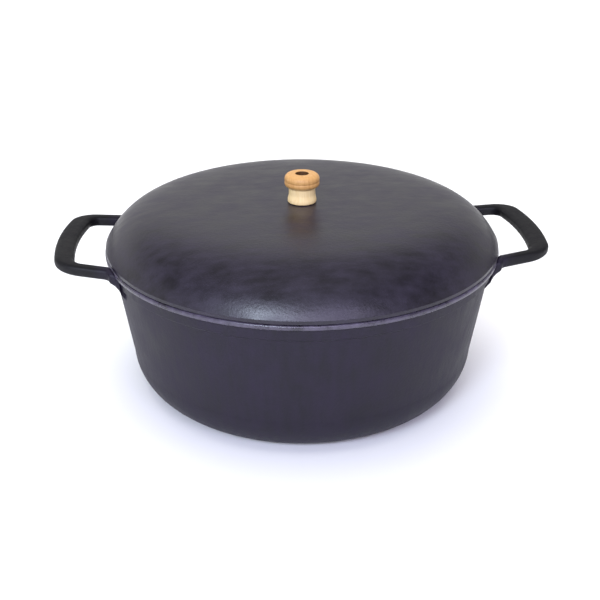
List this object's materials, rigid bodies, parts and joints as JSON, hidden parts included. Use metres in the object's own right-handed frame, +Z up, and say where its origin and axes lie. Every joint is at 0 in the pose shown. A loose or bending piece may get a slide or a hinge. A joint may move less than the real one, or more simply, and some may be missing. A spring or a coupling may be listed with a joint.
{
  "type": "cast iron dutch oven",
  "caption": "Round cast iron dutch oven with loop handles cast on at the rim, a domed lid that lifts off, and a turned wooden knob screwed to the lid.",
  "frame": {"origin": "middle of the pot's flat base, on the surface it stands on", "axes": "+Z up, +X towards one of the two loop handles, +Y level and square to them"},
  "size_m": [0.4422, 0.3568, 0.1952],
  "materials": {
    "seasoned_iron": "oiled, seasoned sand casting, semi-gloss",
    "turned_wood": "turned pale hardwood, sanded",
    "plated_steel": "zinc plated"
  },
  "bodies": {
    "pot": {"pot": "seasoned_iron"},
    "lid": {"lid": "seasoned_iron", "knob": "turned_wood", "knob_bolt": "plated_steel", "bolt_head_washer": "plated_steel", "lid_washer": "plated_steel", "knob_nut": "plated_steel"}
  },
  "joints": [
    {"name": "lid_lift", "type": "slide", "parent": "pot", "child": "lid", "axis": [0, 0, 1], "range_m": [0, 0.25]}
  ]
}
